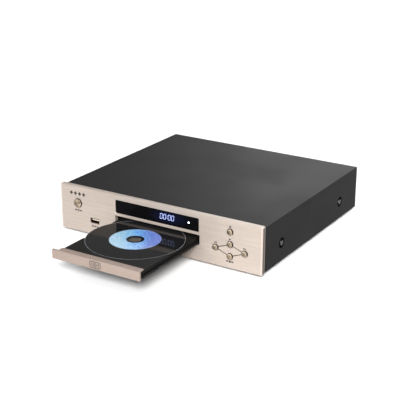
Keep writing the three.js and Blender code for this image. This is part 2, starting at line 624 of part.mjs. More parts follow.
function pulleyGear() {
  const { x, y, groove } = PULLEY_GEAR;
  const toothAngle = PULLEY_GEAR_ANGLE + Math.PI + Math.PI / PULLEY_GEAR_TEETH;
  const pinion = gear(PULLEY_GEAR_TEETH, TRAY_GEAR.module, toothAngle, 15, 23, PULLEY_GEAR);
  const pulley = turned('z', pulleyProfile(groove, groove + 1, 1.75, 22.6, 26.1), [x, y], 20);
  return cut(pinion.add(pulley), rod('z', 1.75, 14, 27, [x, y], 12));
}

function motorPulley() {
  const { x, y, groove } = MOTOR_PULLEY;
  return turned('z', pulleyProfile(groove, groove + 1.2, 1.3, 22.6, 26.1), [x, y], 12);
}

// Open loop round both pulleys: outer outline minus the same outline drawn nearer to the pulleys.
function driveBelt() {
  const dx = MOTOR_PULLEY.x - PULLEY_GEAR.x;
  const dy = MOTOR_PULLEY.y - PULLEY_GEAR.y;
  const distance = Math.hypot(dx, dy);
  const heading = Math.atan2(dy, dx);
  const loop = (clearance) => {
    const big = PULLEY_GEAR.groove + clearance;
    const small = MOTOR_PULLEY.groove + clearance;
    const wrap = Math.acos((big - small) / distance);
    const shape = new THREE.Shape();
    shape.absarc(PULLEY_GEAR.x, PULLEY_GEAR.y, big, heading + wrap, heading - wrap + 2 * Math.PI, false);
    shape.absarc(MOTOR_PULLEY.x, MOTOR_PULLEY.y, small, heading - wrap, heading + wrap, false);
    return shape;
  };
  const outer = plateZ(loop(GAP + BELT.thickness), BELT.low, BELT.high, 6);
  return outer.subtract(plateZ(loop(GAP), BELT.low - 1, BELT.high + 1, 6));
}

// ---- Traverse -------------------------------------------------------------------------------------------
function traverseChassis() {
  const { left, right, front, rear, bottom, top } = PLATE;
  const plate = plateZ(roundedRectangle(left, right, front, rear, 4), bottom, top, 3);
  const rims = [left, right - 2].map((x) => box(x, x + 2, front + 6, rear - 6, bottom - 3, bottom + 1));
  const ends = [[ROD.front, ROD.front + 4], [ROD.rear - 4, ROD.rear]];
  const block = (x, [y0, y1]) => box(x - 3, x + 3, y0, y1, top - 1, ROD.z + 3);
  const blocks = [-ROD.x, ROD.x].flatMap((x) => ends.map((end) => block(x, end)));
  const pins = [[left - 11, left + 2], [right - 2, right + 8]]
    .map(([x0, x1]) => rod('x', 2.2, x0, x1, [PIVOT.y, PIVOT.z], 14));
  const gearPin = rod('z', 1.2, top - 1, 28.4, [FEED_GEAR_X, FEED.y], 10);
  const holes = [
    rod('z', FLAT_MOTOR.radius + GAP, bottom - 4, top + 1, [0, SPINDLE_Y], 24),
    box(-17.8, 17.8, 93.8, 152, bottom - 4, top + 1),
    rod('z', 1.5, bottom - 4, top + 1, [FEED_MOTOR.x, FEED_MOTOR.y], 10),
    ...[-ROD.x, ROD.x].map((x) => rod('y', ROD.radius + GAP, ROD.front - 1, ROD.rear + 1, [x, ROD.z], 12)),
  ];
  return cut(fuse(plate, ...rims, ...blocks, ...pins, gearPin), ...holes);
}

function turntable() {
  return turned('z', [
    [1.3, 29.6], [5, 29.6], [5, 31], [14.5, 31], [14.5, 33.6],
    [7.2, 33.6], [6.4, 35.6], [4, 36.5], [1.3, 36.5],
  ], [0, SPINDLE_Y], 20);
}

function pickupSled() {
  const x = 17;
  const front = SLED_Y - 7;
  const back = SLED_Y + 13;
  const body = box(-x, x, front, back, 17.5, 28.4);
  const wings = box(-25, 25, front, back, PLATE.top + 0.5, 28.4);
  const { module, rackX, rackBack, rackLength } = FEED;
  const teeth = rack(module, rackX, rackBack, front, front + rackLength, 23.1, 25.9, FEED.y);
  const bore = (at) => rod('y', ROD.radius + GAP, front - 1, back + 60, [at, ROD.z], 12);
  const bores = [-ROD.x, ROD.x].map(bore);
  const well = rod('z', 6, 24, 30, [0, SLED_Y], 20);
  return cut(fuse(body, wings, teeth), ...bores, well);
}

function pickupLens() {
  const profile = [[0, 26.2], [4.6, 26.2], [4.6, 29.4], [3.2, 30.2], [2, 30.6], [0, 30.8]];
  return turned('z', profile, [0, SLED_Y], 20);
}

function feedMotor() {
  const profile = [[0, 11], [8, 11], [8, 19.2], [1, 19.2], [1, 28.4], [0, 28.4]];
  return turned('z', profile, [FEED_MOTOR.x, FEED_MOTOR.y], 18);
}

function feedGear() {
  const centre = { x: FEED_GEAR_X, y: FEED.y };
  const pinion = gear(FEED.pinionTeeth, FEED.module, Math.PI, PLATE.top + GAP, 25.8, centre);
  const wheel = gear(FEED.wheelTeeth, FEED.wheelModule, FEED_ANGLE, 26.2, 28.3, centre);
  const hub = rod('z', 2.4, 25, 27, [centre.x, centre.y], 12);
  return cut(fuse(pinion, wheel, hub), rod('z', 1.45, 20, 30, [centre.x, centre.y], 10));
}

function feedPinion() {
  const toothAngle = FEED_ANGLE + Math.PI + Math.PI / FEED.motorTeeth;
  const teeth = gear(FEED.motorTeeth, FEED.wheelModule, toothAngle, 26.2, 28.3, FEED_MOTOR);
  return cut(teeth, rod('z', 1.3, 20, 30, [FEED_MOTOR.x, FEED_MOTOR.y], 10));
}

// ---- Assembly -------------------------------------------------------------------------------------------
const player = new THREE.Group();
player.position.y = -(CASE.rear + REAR_JACK_LENGTH - TRAY_TRAVEL) / 2;

function addCase() {
  node('front_panel', frontPanel(), 'champagne', player);
  node('display_window', displayWindow(), 'glossBlack', player);
  node('base_chassis', baseChassis(), 'zinc', player);
  node('top_cover', topCover(), 'coverPaint', player);
  node('rear_panel', rearPanel(), 'coverPaint', player);
  for (const [side, word] of [[-1, 'left'], [1, 'right']]) {
    SIDE_SCREW_Y.forEach((y, i) => {
      const end = ['front', 'rear'][i];
      node(`${word}_${end}_cover_screw`, coverScrew(side, y), 'steel', player);
      node(`${word}_${end}_foot`, foot(side * 118, [42, 236][i]), 'rubber', player);
    });
  }
  node('mains_inlet', mainsInlet(), 'blackPlastic', player);
  for (const [name, [x, finish]] of Object.entries(REAR_JACKS)) node(name, audioSocket(x), finish, player);
  node('optical_socket', opticalSocket(), 'blackPlastic', player);
}

function addBoards() {
  node('usb_socket', usbSocket(), 'steel', player);
  node('usb_board', box(-110, -78, 10.2, 46, 17.1, 18.7), 'board', player);
  node('key_board', keyBoard(), 'board', player);
  node('power_switch_board', powerSwitchBoard(), 'boardBrown', player);
  node('display_board', box(-69, 69, DISPLAY_BOARD.y, DISPLAY_BOARD.y + BOARD, 38.2, 58), 'board', player);
  node('display_module', box(0, 31, 12, DISPLAY_BOARD.y - GAP, 43, 56), 'blackPlastic', player);
  node('status_lamp', rod('y', 1.8, 11, DISPLAY_BOARD.y - GAP, [46.4, 49.1], 14), 'lamp', player);
  node('main_board', mainBoard(), 'board', player);
  node('power_board', powerBoard(), 'boardBrown', player);
  node('heat_sink', heatSink(), 'zinc', player);
  node('transformer', transformer(), 'copper', player);
  node('filter_capacitor', rod('z', 9, 13.9, 42, [-96, 122], 24), 'blue', player);
}

function addButtons() {
  const powerTip = POWER_BOARD.switchFace - POWER.travel - GAP;
  node('power_button', button(POWER.x, POWER.z, POWER.radius, 2.2, powerTip), 'bronze', player);
  for (const [name, [x, z]] of Object.entries(KEYS)) {
    node(name, button(x, z, KEY_RADIUS, 1.8, 13.2), 'bronze', player);
  }
}

function addTray() {
  node('disc_tray', discTray(), 'trayBlack', player);
  node('tray_door', trayDoor(), 'champagneDoor', player);
  node('compact_disc', compactDisc(), 'discBlack', player);
}

function addLoader() {
  node('loader_frame', loaderFrame(), 'blackPlastic', player);
  node('clamp_bridge', clampBridge(), 'zinc', player);
  node('clamp_puck', clampPuck(), 'whitePlastic', player);
  const motor = flatMotor(MOTOR_PULLEY.x, MOTOR_PULLEY.y, 8.5, LOADER.floorTop + GAP, 26);
  node('loading_motor', motor, 'steel', player);
  node('motor_pulley', motorPulley(), 'whitePlastic', player);
  node('drive_belt', driveBelt(), 'rubber', player);
  node('pulley_gear', pulleyGear(), 'whitePlastic', player);
  node('tray_gear', trayGear(), 'whitePlastic', player);
}

// The traverse group turns about the pivot, so that its front end rests below the tray's path.
function addTraverse() {
  const hinge = new THREE.Group();
  hinge.position.set(0, PIVOT.y, PIVOT.z);
  hinge.rotation.x = TRAVERSE_TILT;
  player.add(hinge);
  const traverse = new THREE.Group();
  traverse.position.set(0, -PIVOT.y, -PIVOT.z);
  hinge.add(traverse);
  const rodAt = (x) => rod('y', ROD.radius, ROD.front, ROD.rear, [x, ROD.z], 12);
  node('traverse_chassis', traverseChassis(), 'blackPlastic', traverse);
  node('spindle_motor', flatMotor(0, SPINDLE_Y, 16.8, PLATE.top + GAP, 36), 'steel', traverse);
  node('turntable', turntable(), 'blackPlastic', traverse);
  node('left_guide_rod', rodAt(-ROD.x), 'steel', traverse);
  node('right_guide_rod', rodAt(ROD.x), 'steel', traverse);
  node('pickup_sled', pickupSled(), 'zinc', traverse);
  node('pickup_lens', pickupLens(), 'lens', traverse);
  node('feed_motor', feedMotor(), 'steel', traverse);
  node('feed_gear', feedGear(), 'whitePlastic', traverse);
  node('feed_pinion', feedPinion(), 'brass', traverse);
}

addCase();
addBoards();
addButtons();
addTray();
addLoader();
addTraverse();

export default player;
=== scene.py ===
"""CD player with its tray open: finishes, fine pieces, floor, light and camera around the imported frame."""

import json
import math

import bmesh
import bpy
from mathutils import Matrix, Vector


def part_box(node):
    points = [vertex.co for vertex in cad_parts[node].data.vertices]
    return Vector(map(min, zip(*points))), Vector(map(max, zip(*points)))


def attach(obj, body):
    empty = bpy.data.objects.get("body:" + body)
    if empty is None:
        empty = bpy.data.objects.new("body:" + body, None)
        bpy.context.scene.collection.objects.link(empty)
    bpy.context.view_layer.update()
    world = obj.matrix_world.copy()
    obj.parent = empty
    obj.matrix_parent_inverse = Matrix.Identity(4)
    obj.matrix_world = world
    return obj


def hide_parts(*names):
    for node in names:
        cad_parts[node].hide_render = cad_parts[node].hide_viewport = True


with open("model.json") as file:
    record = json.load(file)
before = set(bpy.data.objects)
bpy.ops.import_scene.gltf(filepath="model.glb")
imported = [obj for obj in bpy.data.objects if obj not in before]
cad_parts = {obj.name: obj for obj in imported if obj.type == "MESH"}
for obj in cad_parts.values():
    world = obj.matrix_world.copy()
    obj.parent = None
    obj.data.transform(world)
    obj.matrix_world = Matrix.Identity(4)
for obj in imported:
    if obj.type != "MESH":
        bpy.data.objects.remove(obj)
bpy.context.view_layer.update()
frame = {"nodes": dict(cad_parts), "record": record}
NODES = frame["nodes"]
SLOT_OF = {part["node"]: part["material_slot"] for part in frame["record"]["subparts"]}

MM = 0.001
FRONT_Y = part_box("front_panel")[0].y
REAR_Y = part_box("rear_panel")[1].y
SHARP_ANGLE = math.radians(35)


def at(x, y, z):
    """A point in metres, from millimetres with y behind the front panel's face and z above the table."""
    return Vector((x * MM, FRONT_Y + y * MM, z * MM))


def linear(red, green, blue):
    """Linear colour from 8-bit sRGB values."""

    def channel(value):
        value /= 255
        return value / 12.92 if value <= 0.04045 else ((value + 0.055) / 1.055) ** 2.4

    return channel(red), channel(green), channel(blue)


# ---- Finishes ---------------------------------------------------------------------------------------


class Finish:
    """A Principled material with short calls for grain, colour change and relief."""

    def __init__(self, name, colour, roughness, **sockets):
        self.material = bpy.data.materials.new(name)
        self.material.use_nodes = True
        self.tree = self.material.node_tree
        self.shader = self.tree.nodes["Principled BSDF"]
        self.shader.inputs["Base Color"].default_value = (*colour, 1)
        self.shader.inputs["Roughness"].default_value = roughness
        for socket, value in sockets.items():
            self.shader.inputs[socket.replace("_", " ")].default_value = value
        self.place = self.node("ShaderNodeTexCoord").outputs["Object"]

    def node(self, kind, inputs=(), **settings):
        made = self.tree.nodes.new(kind)
        for key, value in settings.items():
            setattr(made, key, value)
        for key, value in dict(inputs).items():
            if isinstance(value, bpy.types.NodeSocket):
                self.tree.links.new(value, made.inputs[key])
            else:
                made.inputs[key].default_value = value
        return made

    def link(self, value, socket):
        self.tree.links.new(value, self.shader.inputs[socket])

    def math(self, operation, a, b=0.0):
        return self.node("ShaderNodeMath", {0: a, 1: b}, operation=operation).outputs[0]

    def stretched(self, factors):
        made = self.node("ShaderNodeMapping", {"Vector": self.place, "Scale": factors})
        return made.outputs["Vector"]

    def noise(self, scale, detail=2.0, stretch=(1, 1, 1), distortion=0.0):
        place = self.stretched(stretch)
        inputs = {"Vector": place, "Scale": scale, "Detail": detail, "Distortion": distortion}
        return self.node("ShaderNodeTexNoise", inputs).outputs["Fac"]

    def cells(self, scale):
        inputs = {"Vector": self.place, "Scale": scale}
        return self.node("ShaderNodeTexVoronoi", inputs).outputs["Distance"]

    def remap(self, value, low, high, from_low=0.3, from_high=0.7):
        inputs = {"Value": value, "From Min": from_low, "From Max": from_high, "To Min": low, "To Max": high}
        return self.node("ShaderNodeMapRange", inputs).outputs["Result"]

    def ramp(self, value, stops):
        made = self.node("ShaderNodeValToRGB", {"Fac": value})
        elements = made.color_ramp.elements
        while len(elements) < len(stops):
            elements.new(0.5)
        for element, (place, colour) in zip(elements, stops):
            element.position = place
            element.color = (*colour, 1)
        return made.outputs["Color"]

    def mix(self, factor, under, over):
        """Colour that goes from under to over as factor goes from 0 to 1."""
        made = self.node("ShaderNodeMix", {"Factor": factor, 6: under, 7: (*over, 1)}, data_type="RGBA")
        return made.outputs[2]

    def relief(self, height, depth_mm):
        inputs = {"Height": height, "Distance": depth_mm * MM, "Strength": 1.0}
        if self.shader.inputs["Normal"].is_linked:
            inputs["Normal"] = self.shader.inputs["Normal"].links[0].from_socket
        self.link(self.node("ShaderNodeBump", inputs).outputs["Normal"], "Normal")

    def radius_mm(self):
        """Distance in millimetres from the object's own Z axis."""
        parts = self.node("ShaderNodeSeparateXYZ", {"Vector": self.place}).outputs
        squares = [self.math("MULTIPLY", parts[axis], parts[axis]) for axis in "XY"]
        return self.math("MULTIPLY", self.math("SQRT", self.math("ADD", *squares)), 1 / MM)


def shade(colour, factor):
    return tuple(min(1.0, channel * factor) for channel in colour)


SCRATCH_SCALE = 800
SCRATCH_SPREAD = 0.12


def brushed(name, colour, roughness, stretch=(0.02, 1, 1), tangent=(0, 0, 1), edges=None):
    """Brushed metal: long fine scratches in the colour, the gloss and the relief.
    Where edges is given, it lays painted highlight and painted shade on the edges over the brushed one."""
    finish = Finish(name, colour, roughness, Metallic=0.35, Anisotropic=0.6)
    lines = finish.noise(SCRATCH_SCALE, 3, stretch)
    fine = finish.noise(SCRATCH_SCALE * 5, 2, stretch)
    both = finish.math("ADD", finish.math("MULTIPLY", lines, 0.6), finish.math("MULTIPLY", fine, 0.4))
    stops = [(0.3, shade(colour, 1 - SCRATCH_SPREAD)), (0.7, shade(colour, 1 + SCRATCH_SPREAD))]
    paint = finish.ramp(both, stops)
    if edges:
        paint = edges(finish, paint, colour)
    finish.link(paint, "Base Color")
    finish.link(finish.remap(both, roughness - 0.07, roughness + 0.09), "Roughness")
    finish.relief(fine, 0.004)
    parts = dict(zip("XYZ", tangent))
    finish.link(finish.node("ShaderNodeCombineXYZ", parts).outputs["Vector"], "Tangent")
    return finish


# Where the panel's painted light and shade change: its end face, the painted highlight border before it, and
# two depths behind its front.
END_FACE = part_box("front_panel")[1].x / MM - 0.05
# The width of the painted highlight border before each end, then the depths where the painted shade on the
# end faces changes, in mm.
HIGHLIGHT_BORDER = 2.2
SHADED_BAND_DEPTH = 4.8
SHADOW_GAP_DEPTH = 5.65
# Painted shade: dark brown for the front of the end faces, and black for the painted shadow of the gap behind
# the plate.
PAINTED_END_SHADE = (0.08, 0.06, 0.05)
PAINTED_GAP_SHADOW = (0.012, 0.01, 0.009)


def panel_painted_light(finish, paint, colour):
    """Painted light and shade on the front panel's edges: a painted highlight border before each end,
    standing for a rounded edge that catches light; end faces painted dark brown in front with a shaded copy
    of the metal behind, as painted shade; and black behind the deeper depth, a painted shadow for the gap
    before the cover."""
    parts = finish.node("ShaderNodeSeparateXYZ", {"Vector": finish.place}).outputs
    from_middle = finish.math("ABSOLUTE", parts["X"])
    highlight_band = finish.math("GREATER_THAN", from_middle, (END_FACE - HIGHLIGHT_BORDER) * MM)
    ends = finish.math("GREATER_THAN", from_middle, END_FACE * MM)
    behind = finish.math("GREATER_THAN", parts["Y"], FRONT_Y + SHADED_BAND_DEPTH * MM)
    rim = finish.math("GREATER_THAN", parts["Y"], FRONT_Y + SHADOW_GAP_DEPTH * MM)
    # Painted highlight on the border, then painted shade on the end faces and a painted shadow on the rim
    # behind them.
    paint = finish.mix(highlight_band, paint, shade(colour, 1.22))
    paint = finish.mix(ends, paint, PAINTED_END_SHADE)
    paint = finish.mix(finish.math("MULTIPLY", ends, behind), paint, shade(colour, 0.8))
    return finish.mix(rim, paint, PAINTED_GAP_SHADOW)


def painted(name, colour, roughness, **sockets):
    """Sprayed or powder-coated sheet: orange-peel relief with slight patches in the gloss."""
    finish = Finish(name, colour, roughness, **sockets)
    peel = finish.noise(1500, 3)
    patches = finish.noise(14, 2)
    finish.link(finish.ramp(peel, [(0.3, shade(colour, 0.88)), (0.7, shade(colour, 1.12))]), "Base Color")
    finish.link(finish.remap(patches, roughness - 0.03, roughness + 0.03), "Roughness")
    finish.relief(peel, 0.012)
    return finish


def moulded(name, colour, roughness, grain=2600, depth=0.006, **sockets):
    """Moulded plastic: spark-eroded grain and faint flow marks."""
    finish = Finish(name, colour, roughness, **sockets)
    grain_value = finish.noise(grain, 2)
    flow = finish.noise(45, 3, (1, 0.3, 1), 0.6)
    finish.link(finish.ramp(flow, [(0.3, shade(colour, 0.9)), (0.7, shade(colour, 1.1))]), "Base Color")
    finish.link(finish.remap(grain_value, roughness - 0.05, roughness + 0.07), "Roughness")
    finish.relief(grain_value, depth)
    return finish


def plated(name, colour, roughness, spangle=120):
    """Plated or drawn metal: faint crystals in the colour, and a fine mottled gloss."""
    finish = Finish(name, colour, roughness, Metallic=1.0)
    crystals = finish.cells(spangle)
    mottle = finish.noise(900, 3)
    finish.link(finish.ramp(crystals, [(0.0, shade(colour, 0.86)), (0.9, shade(colour, 1.1))]), "Base Color")
    finish.link(finish.remap(mottle, roughness - 0.05, roughness + 0.1), "Roughness")
    finish.relief(mottle, 0.003)
    return finish


def circuit(name, colour, track):
    """Lacquered circuit board: darker gaps between broad tracks, and a thin woven relief."""
    finish = Finish(name, colour, 0.42, Coat_Weight=0.3)
    tracks = finish.cells(210)
    weave = finish.noise(1400, 2)
    finish.link(finish.ramp(tracks, [(0.18, track), (0.3, colour), (0.8, shade(colour, 0.7))]), "Base Color")
    finish.link(finish.remap(weave, 0.34, 0.5), "Roughness")
    finish.relief(tracks, 0.03)
    return finish


def rubber(name, colour):
    """Rubber: dull, with a dusty bloom and a coarse grain."""
    finish = Finish(name, colour, 0.85)
    bloom = finish.noise(220, 4)
    grain = finish.noise(1900, 2)
    finish.link(finish.ramp(bloom, [(0.35, colour), (0.75, shade(colour, 1.7))]), "Base Color")
    finish.link(finish.remap(grain, 0.75, 0.95), "Roughness")
    finish.relief(grain, 0.02)
    return finish


def polished(name, colour, roughness, **sockets):
    """Polished plastic or glass: wipe marks that only show in the gloss, and a barely uneven face."""
    finish = Finish(name, colour, roughness, **sockets)
    wipes = finish.noise(90, 4, (1, 0.35, 1), 1.2)
    waves = finish.noise(28, 1)
    finish.link(finish.ramp(wipes, [(0.3, colour), (0.8, shade(colour, 1.35))]), "Base Color")
    finish.link(finish.remap(wipes, roughness, roughness + 0.05), "Roughness")
    finish.relief(waves, 0.004)
    return finish


def turned(name, colour, roughness, pitch=0.22, painted_shade_below=None, spun=0.0, mottle=0.14):
    """Lathe-turned metal on a piece whose own Z axis is its axis: fine rings in the gloss and the relief.
    Below a given height, in mm, the metal is painted darker: painted shade on the button's side wall."""
    finish = Finish(name, colour, roughness, Metallic=1.0, Anisotropic=spun)
    if spun:
        around = finish.node("ShaderNodeTangent", {}, direction_type="RADIAL", axis="Z")
        finish.link(around.outputs["Tangent"], "Tangent")
    rings = finish.math("SINE", finish.math("MULTIPLY", finish.radius_mm(), 2 * math.pi / pitch))
    stain = finish.noise(330, 3)
    paint = finish.ramp(stain, [(0.36, shade(colour, 1 - mottle)), (0.64, shade(colour, 1 + mottle))])
    # Painted shade: the side wall below the given height is darkened.
    if painted_shade_below:
        height = finish.node("ShaderNodeSeparateXYZ", {"Vector": finish.place}).outputs["Z"]
        low = finish.remap(height, 1.0, 0.0, (painted_shade_below - 0.15) * MM, (painted_shade_below + 0.05) * MM)
        paint = finish.mix(low, paint, shade(colour, 0.3))
    finish.link(paint, "Base Color")
    finish.link(finish.remap(rings, roughness - 0.03, roughness + 0.06, -1, 1), "Roughness")
    finish.relief(rings, 0.0008)
    return finish


# The glow's middle, and how fast it fades in each direction: one over its reach in metres.
GLOW_MIDDLE = at(17.5, 0, 49.8)
GLOW_FADE = (32, 0, 100)


def smoked_window():
    """Smoked acrylic with a faint blue glow behind it where the display stands."""
    finish = polished("window_black", (0.0025, 0.0025, 0.003), 0.05, IOR=1.08)

    def vector_math(operation, *values):
        return finish.node("ShaderNodeVectorMath", enumerate(values), operation=operation).outputs

    offset = vector_math("SUBTRACT", finish.place, GLOW_MIDDLE)["Vector"]
    faded = vector_math("MULTIPLY", offset, GLOW_FADE)["Vector"]
    distance = vector_math("LENGTH", faded)["Value"]
    stops = [(0.0, (0.0035, 0.007, 0.05)), (0.4, (0.0018, 0.003, 0.018)), (1.0, (0, 0, 0))]
    finish.link(finish.ramp(distance, stops), "Emission Color")
    finish.shader.inputs["Emission Strength"].default_value = 1.0
    return finish


# The tongue inside the USB socket: half its width and height, and how far it is above the socket's middle.
TONGUE_HALF_WIDTH = 5.8
TONGUE_HALF_HEIGHT = 0.95
TONGUE_RISE = 1.05


def usb_finish():
    """Steel shell painted dark brown as painted shade inside the socket, with the pale plastic tongue inside
    it.
    """
    finish = plated("usb_steel", (0.07, 0.045, 0.03), 0.35)
    parts = finish.node("ShaderNodeSeparateXYZ", {"Vector": finish.place}).outputs
    low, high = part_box("usb_socket")
    middle = (low + high) / 2
    across = finish.math("ABSOLUTE", finish.math("SUBTRACT", parts["X"], middle.x))
    above = finish.math("ABSOLUTE", finish.math("SUBTRACT", parts["Z"], middle.z + TONGUE_RISE * MM))
    inside = finish.math("LESS_THAN", across, TONGUE_HALF_WIDTH * MM)
    level = finish.math("LESS_THAN", above, TONGUE_HALF_HEIGHT * MM)
    tongue = finish.math("MULTIPLY", inside, level)
    steel = finish.shader.inputs["Base Color"].links[0].from_socket
    finish.link(finish.mix(tongue, steel, (0.5, 0.42, 0.34)), "Base Color")
    finish.link(finish.remap(tongue, 1.0, 0.0, 0.0, 1.0), "Metallic")
    return finish


FINISHES = {
    "champagne_panel": brushed("champagne_panel", (0.37, 0.315, 0.275), 0.45, edges=panel_painted_light),
    # The door's metal is a darker, pinker copy of the panel's: the darkness is painted shade, standing for
    # the shadowed floor under the tray that the door reflects.
    "champagne_door": brushed("champagne_door", (0.295, 0.23, 0.195), 0.45),
    "window_black": smoked_window(),
    "zinc_sheet": plated("zinc_sheet", (0.52, 0.54, 0.56), 0.38),
    "cover_paint": painted("cover_paint", (0.0155, 0.0155, 0.016), 0.5, IOR=1.11),
    "rear_paint": painted("rear_paint", (0.018, 0.018, 0.019), 0.5),
    "screw_steel": turned("screw_steel", (0.085, 0.085, 0.09), 0.2),
    "foot_rubber": rubber("foot_rubber", (0.012, 0.012, 0.013)),
    "socket_black": moulded("socket_black", (0.012, 0.012, 0.013), 0.38),
    "socket_white": moulded("socket_white", (0.78, 0.77, 0.72), 0.35),
    "socket_red": moulded("socket_red", (0.42, 0.02, 0.015), 0.35),
    "socket_orange": moulded("socket_orange", (0.72, 0.2, 0.03), 0.35),
    "usb_steel": usb_finish(),
    "circuit_green": circuit("circuit_green", (0.012, 0.1, 0.035), (0.03, 0.2, 0.07)),
    "circuit_brown": circuit("circuit_brown", (0.23, 0.12, 0.04), (0.34, 0.2, 0.08)),
    "display_black": moulded("display_black", (0.01, 0.01, 0.012), 0.3),
    "lamp_white": polished(
        "lamp_white", (0.85, 0.88, 0.92), 0.15, Emission_Color=(0.9, 0.95, 1, 1), Emission_Strength=2.0
    ),
    "sink_aluminium": brushed("sink_aluminium", (0.6, 0.61, 0.62), 0.38, (1, 1, 0.03), tangent=(1, 0, 0)),
    "transformer_steel": plated("transformer_steel", (0.2, 0.17, 0.14), 0.5, 300),
    "capacitor_blue": polished("capacitor_blue", (0.012, 0.03, 0.14), 0.2),
    "bronze_button": turned(
        "bronze_button", (0.26, 0.21, 0.155), 0.32, pitch=0.4, painted_shade_below=1.5, spun=0.8, mottle=0.45
    ),
    "tray_black": moulded("tray_black", (0.0065, 0.0062, 0.006), 0.4, 1800, 0.008, IOR=1.15),
    "disc_black": polished("disc_black", (0.0085, 0.0085, 0.0092), 0.02, IOR=1.21),
    "mechanism_black": moulded("mechanism_black", (0.013, 0.013, 0.014), 0.45),
    "gear_white": moulded("gear_white", (0.72, 0.7, 0.64), 0.4),
    "motor_steel": plated("motor_steel", (0.55, 0.56, 0.58), 0.3, 500),
    "belt_rubber": rubber("belt_rubber", (0.01, 0.01, 0.01)),
    "rod_steel": brushed("rod_steel", (0.66, 0.67, 0.69), 0.16, (1, 0.03, 1), tangent=(1, 0, 0)),
    "sled_zinc": plated("sled_zinc", (0.44, 0.45, 0.47), 0.42, 700),
    "lens_glass": polished("lens_glass", (0.1, 0.13, 0.3), 0.03, IOR=1.5, Coat_Weight=0.5),
    "pinion_brass": turned("pinion_brass", (0.7, 0.48, 0.17), 0.24),
}

EDGE_RADIUS = {
    "top_cover": 0.45, "rear_panel": 0.3, "disc_tray": 0.22, "tray_door": 0.16, "mains_inlet": 0.3,
    "optical_socket": 0.25, "usb_socket": 0.08, "front_panel": 0.1,
}


def soften_edges(piece, radius_mm):
    bevel = piece.modifiers.new("edges", "BEVEL")
    bevel.width = radius_mm * MM
    bevel.segments = 2
    bevel.limit_method = "ANGLE"
    bevel.angle_limit = math.radians(40)
    bevel.use_clamp_overlap = True


for name, piece in NODES.items():
    for slot in piece.material_slots:
        slot.material = FINISHES[SLOT_OF[name]].material
    if name in EDGE_RADIUS:
        soften_edges(piece, EDGE_RADIUS[name])


# ---- Making pieces ----------------------------------------------------------------------------------


def finished(name, mesh, finish, body, stands_for, place):
    """Turns a bmesh into a piece that rides on a CAD body, and replaces the CAD nodes in stands_for."""
    bmesh.ops.recalc_face_normals(mesh, faces=mesh.faces)
    for face in mesh.faces:
        face.smooth = True
    for edge in mesh.edges:
        edge.smooth = len(edge.link_faces) == 2 and edge.calc_face_angle(0) < SHARP_ANGLE
    data = bpy.data.meshes.new(name)
    mesh.to_mesh(data)
    mesh.free()
    data.materials.append(finish.material)
    piece = bpy.data.objects.new(name, data)
    bpy.context.scene.collection.objects.link(piece)
    piece.matrix_world = place
    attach(piece, body)
    if stands_for:
        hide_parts(*stands_for)


def facing(direction, centre):
    """Place of a turned piece: its own Z axis points along direction."""
    return Matrix.Translation(centre) @ Vector(direction).to_track_quat("Z", "Y").to_matrix().to_4x4()


def turn(mesh, profile, segments, closed=False):
    """Adds the body that profile, a list of (radius, height) in mm, sweeps round the Z axis."""
    rings = []
    for radius, height in profile:
        if radius < 1e-6:
            rings.append([mesh.verts.new((0, 0, height * MM))])
            continue
        angles = [2 * math.pi * i / segments for i in range(segments)]
        points = [(radius * MM * math.cos(a), radius * MM * math.sin(a), height * MM) for a in angles]
        rings.append([mesh.verts.new(point) for point in points])
    pairs = list(zip(rings, rings[1:]))
    if closed:
        pairs.append((rings[-1], rings[0]))
    for lower, upper in pairs:
        for i in range(segments):
            j = (i + 1) % segments
            below = [lower[i % len(lower)], lower[j % len(lower)]]
            above = [upper[j % len(upper)], upper[i % len(upper)]]
            unique = list(dict.fromkeys(below + above))
            if len(unique) > 2:
                mesh.faces.new(unique)


def prism(mesh, outline, depth_mm):
    """Adds a flat body: outline is (x, y) in mm at height 0, pulled up along Z by depth_mm."""
    low = [mesh.verts.new((x * MM, y * MM, 0)) for x, y in outline]
    high = [mesh.verts.new((x * MM, y * MM, depth_mm * MM)) for x, y in outline]
    mesh.faces.new(low[::-1])
    mesh.faces.new(high)
    for i, corner in enumerate(low):
        j = (i + 1) % len(low)
        mesh.faces.new([corner, low[j], high[j], high[i]])


def arc_band(inner, outer, start, end, steps, centre=(0, 0)):
    """Outline of a piece of a ring, with angles in degrees."""
    angles = [math.radians(start + (end - start) * i / steps) for i in range(steps + 1)]
    cx, cy = centre
    out = [(cx + outer * math.cos(a), cy + outer * math.sin(a)) for a in angles]
    back = [(cx + inner * math.cos(a), cy + inner * math.sin(a)) for a in reversed(angles)]
    return out + back


def bar(x0, x1, y0, y1):
    return [(x0, y0), (x1, y0), (x1, y1), (x0, y1)]


def dome(radius, rise, steps):
    """Profile points of a shallow crown, from its rim to its top."""
    sphere = (radius * radius + rise * rise) / (2 * rise)
    half = math.asin(radius / sphere)
    angles = [half * (1 - i / steps) for i in range(steps + 1)]
    return [(sphere * math.sin(a), sphere * math.cos(a) - sphere + rise) for a in angles]


# ---- Buttons ----------------------------------------------------------------------------------------

# In mm: the flange's reach past the wall, its faces from the panel's front, the stem, the rim and the crown.
BUTTON_FLANGE = 1.1
FLANGE_BACK = -9.6
FLANGE_FRONT = -8.5
STEM_RADIUS = 1.6
RIM_ROLL = 0.35
CROWN_RISE = 0.45


